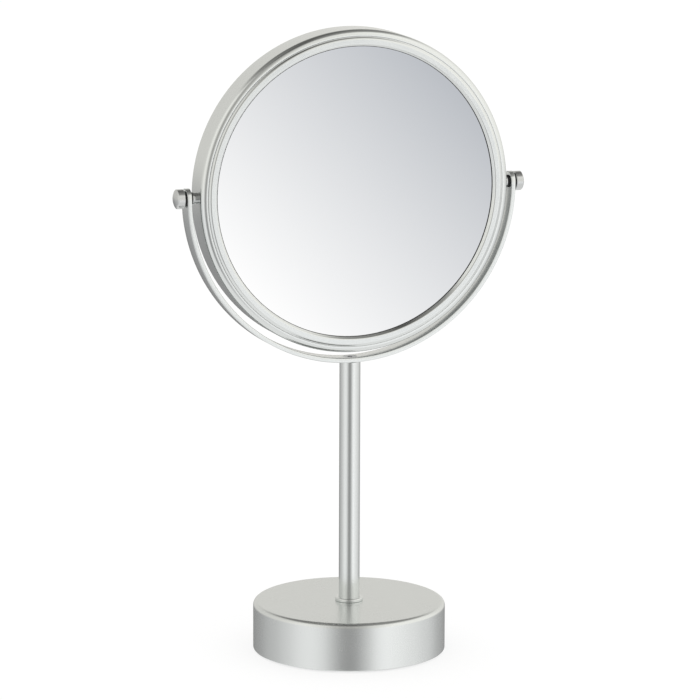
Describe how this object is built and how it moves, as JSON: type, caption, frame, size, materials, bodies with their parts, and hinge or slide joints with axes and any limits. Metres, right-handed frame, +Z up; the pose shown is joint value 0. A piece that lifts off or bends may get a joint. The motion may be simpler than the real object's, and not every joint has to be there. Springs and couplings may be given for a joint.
{
  "type": "shaving mirror",
  "caption": "Free-standing round shaving mirror: weighted drum foot, plain column, half-ring yoke and a double-sided head that turns over between hand knobs.",
  "frame": {"origin": "centre of the foot pad's underside, on the surface that the mirror stands on", "axes": "+Z up along the column, -Y out of the flat front glass, +X along the pivot axis to the right of someone who looks into the front glass"},
  "size_m": [0.2288, 0.12, 0.3906],
  "materials": {
    "satin_nickel": "satin nickel plate with a fine bead-blasted grain",
    "mirror_glass": "back-silvered float glass, polished",
    "zinc_steel": "bright zinc plate",
    "ballast_iron": "rough sand-cast, black painted",
    "core_plastic": "moulded, matt",
    "black_washer": "black nylon, matt",
    "black_pad": "closed-cell foam rubber, matt"
  },
  "bodies": {
    "stand": {"foot_pad": "black_pad", "base_plate": "zinc_steel", "plate_screws": "zinc_steel", "base_ballast": "ballast_iron", "base_cover": "satin_nickel", "tie_bolt": "zinc_steel", "tie_bolt_washer": "zinc_steel", "tie_bolt_spring_washer": "zinc_steel", "column_collar": "satin_nickel", "column_tube": "satin_nickel", "column_foot_plug": "zinc_steel", "column_head_plug": "zinc_steel", "yoke": "satin_nickel", "yoke_screw": "zinc_steel"},
    "head": {"head_rim": "satin_nickel", "head_core": "core_plastic", "foam_pad": "black_pad", "front_glass": "mirror_glass", "rear_glass": "mirror_glass", "front_gasket": "black_washer", "rear_gasket": "black_washer", "front_bezel": "satin_nickel", "rear_bezel": "satin_nickel", "left_pivot_bush": "zinc_steel", "right_pivot_bush": "zinc_steel", "left_pivot_stud": "zinc_steel", "right_pivot_stud": "zinc_steel", "left_spacer": "satin_nickel", "right_spacer": "satin_nickel", "left_inner_washer": "black_washer", "right_inner_washer": "black_washer", "left_outer_washer": "black_washer", "right_outer_washer": "black_washer"},
    "left_hand_knob": {"left_knob": "satin_nickel"},
    "right_hand_knob": {"right_knob": "satin_nickel"}
  },
  "joints": [
    {"name": "head_tilt", "type": "hinge", "parent": "stand", "child": "head", "pos_m": [0, 0, 0.2906], "axis": [1, 0, 0], "continuous": true},
    {"name": "left_knob_turn", "type": "hinge", "parent": "head", "child": "left_hand_knob", "pos_m": [-0.1105, 0, 0.2906], "axis": [-1, 0, 0], "range_deg": [0, 90]},
    {"name": "right_knob_turn", "type": "hinge", "parent": "head", "child": "right_hand_knob", "pos_m": [0.1105, 0, 0.2906], "axis": [1, 0, 0], "range_deg": [0, 90]}
  ]
}
